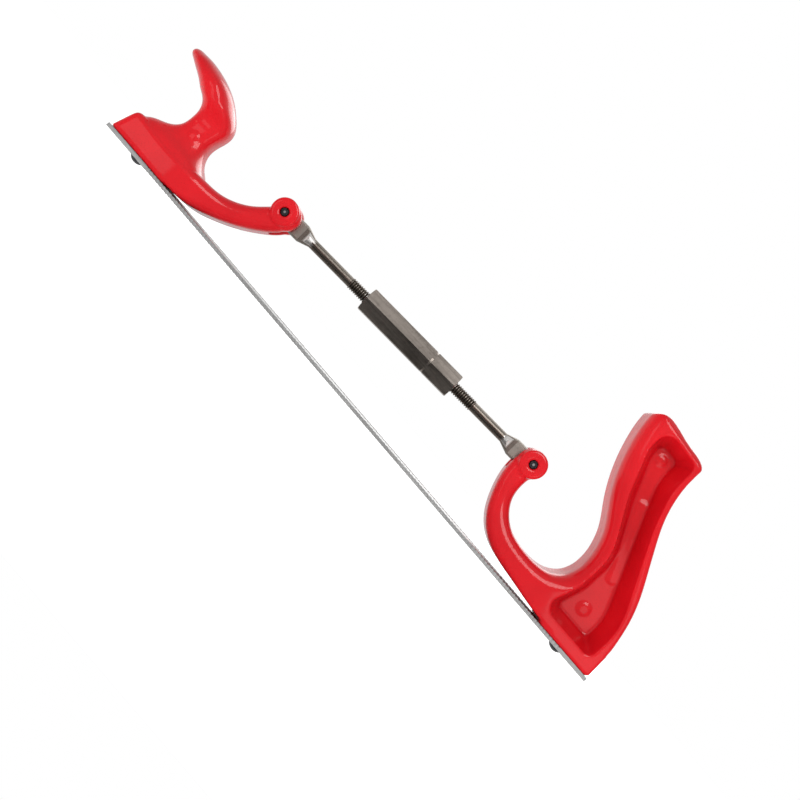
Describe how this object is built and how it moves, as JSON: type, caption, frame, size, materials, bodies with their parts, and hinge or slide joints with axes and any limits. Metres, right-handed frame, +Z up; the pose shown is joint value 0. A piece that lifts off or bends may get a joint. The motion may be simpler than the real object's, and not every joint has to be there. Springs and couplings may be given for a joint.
{
  "type": "adjustable body file holder",
  "caption": "Adjustable body file: a flat file screwed under two red cast handles that a hexagonal turnbuckle pushes or pulls to bow the file.",
  "frame": {"origin": "middle of the bounding box in plan, at the lowest point of the two file screw heads", "axes": "+X along the file towards the rear handle, +Y across it, +Z up from the file to the handles"},
  "size_m": [0.3606, 0.035, 0.1181],
  "materials": {
    "red_paint": "gloss",
    "file_steel": "satin",
    "screw_steel": "satin",
    "barrel_steel": "satin",
    "rod_steel": "satin",
    "pin_steel": "satin"
  },
  "bodies": {
    "file": {"file_blade": "file_steel"},
    "front_grip": {"front_handle": "red_paint", "front_file_screw": "screw_steel", "front_pivot_pin": "pin_steel"},
    "rear_grip": {"rear_handle": "red_paint", "rear_file_screw": "screw_steel", "rear_pivot_pin": "pin_steel"},
    "rear_rod": {"rear_eye_rod": "rod_steel"},
    "front_rod": {"front_eye_rod": "rod_steel"},
    "barrel": {"turnbuckle_barrel": "barrel_steel"}
  },
  "joints": [
    {"name": "front_flex", "type": "hinge", "parent": "file", "child": "front_grip", "pos_m": [-0.06578, 0, 0.00327], "axis": [0, 1, 0], "range_deg": [-5, 5], "deforming": ["file_blade"]},
    {"name": "rear_flex", "type": "hinge", "parent": "file", "child": "rear_grip", "pos_m": [0.07408, 0, 0.00327], "axis": [0, 1, 0], "range_deg": [-5, 5], "deforming": ["file_blade"]},
    {"name": "rear_pivot", "type": "hinge", "parent": "rear_grip", "child": "rear_rod", "pos_m": [0.0856, 0, 0.05257], "axis": [0, 1, 0], "range_deg": [-5.2, 5.2]},
    {"name": "rod_slide", "type": "slide", "parent": "rear_rod", "child": "front_rod", "axis": [0.9977, 0, 0.0683], "range_m": [-0.0078, 0.0078]},
    {"name": "barrel_spin", "type": "hinge", "parent": "rear_rod", "child": "barrel", "pos_m": [0.00045, 0, 0.04593], "axis": [0.9977, 0, 0.0683], "range_deg": [-1080, 1080]}
  ],
  "couplings": [
    {"joint": "rear_flex", "follows": "front_flex", "ratio": -1},
    {"joint": "rear_pivot", "follows": "front_flex", "ratio": 1.028},
    {"joint": "rod_slide", "follows": "front_flex", "m_per_rad": 0.08712},
    {"joint": "barrel_spin", "follows": "front_flex", "ratio": 215.5}
  ]
}
